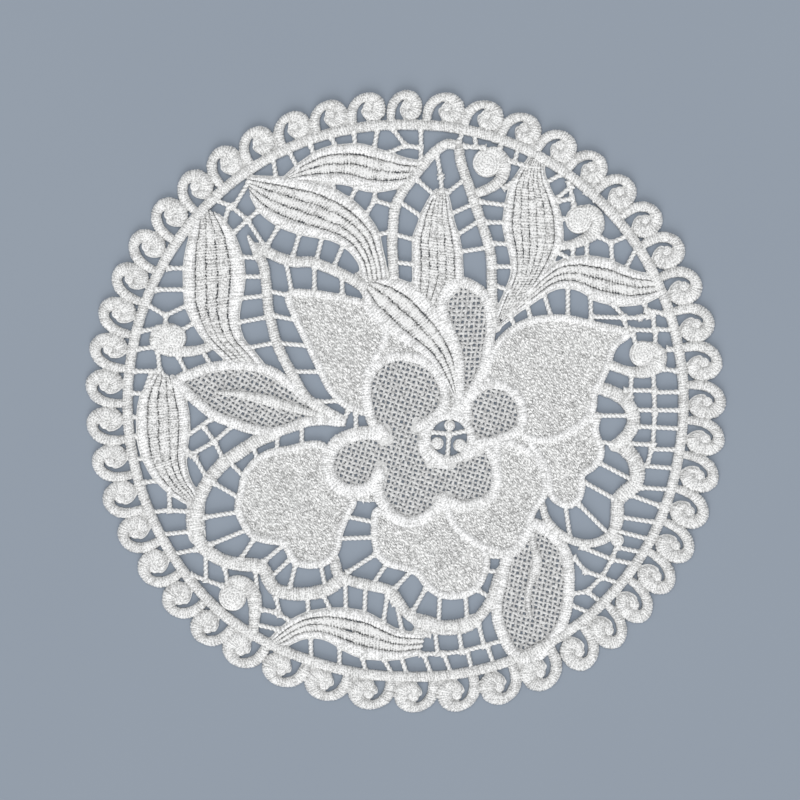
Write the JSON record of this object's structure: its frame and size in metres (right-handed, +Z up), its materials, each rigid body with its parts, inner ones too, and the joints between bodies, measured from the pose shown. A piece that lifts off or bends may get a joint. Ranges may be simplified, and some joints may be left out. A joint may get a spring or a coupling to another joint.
{
  "type": "lace mat",
  "caption": "Round white lace mat with a large flower, leaves, joining bars and a scrolled rim, lying flat.",
  "frame": {"origin": "middle of the mat's outline, on the surface it lies on", "axes": "+Z up out of the mat's face, +X to the right and +Y away from the viewer as the motif is seen the right way up"},
  "size_m": [0.2033, 0.1977, 0.0022],
  "materials": {
    "white_cotton_thread": "matt white cotton embroidery thread with a faint sheen along satin stitches"
  },
  "bodies": {
    "root": {"lace_mat": "white_cotton_thread"}
  },
  "joints": []
}
